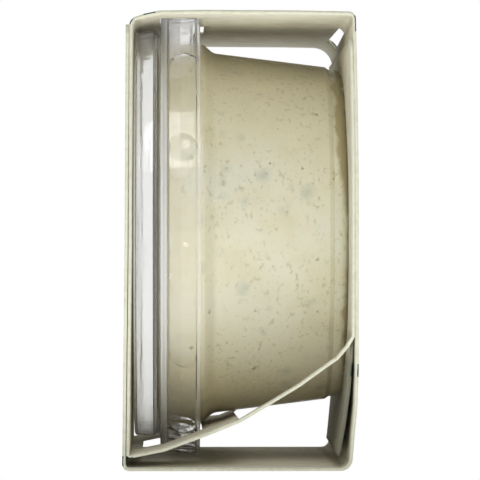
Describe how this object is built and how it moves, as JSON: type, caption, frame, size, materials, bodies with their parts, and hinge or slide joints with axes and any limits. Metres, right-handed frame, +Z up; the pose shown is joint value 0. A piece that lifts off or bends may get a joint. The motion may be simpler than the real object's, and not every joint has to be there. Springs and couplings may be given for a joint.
{
  "type": "soft nut cheese tub in a board sleeve",
  "caption": "Round clear tub of speckled soft nut cheese lying on its side in an open folded board sleeve.",
  "frame": {"origin": "middle of the sleeve's footprint, on the floor", "axes": "+X from the lid to the tub's base along the tub's axis, +Y from the open front to the open back, +Z up"},
  "size_m": [0.048, 0.095, 0.0963],
  "materials": {
    "board": "matt uncoated inside, printed outside",
    "lid_plastic": "thin clear glossy plastic",
    "tub_plastic": "thin clear glossy plastic",
    "soft_cheese": "pale soft paste with small specks, damp"
  },
  "bodies": {
    "root": {"carton": "board", "lid": "lid_plastic", "tub": "tub_plastic", "cheese": "soft_cheese"}
  },
  "joints": []
}
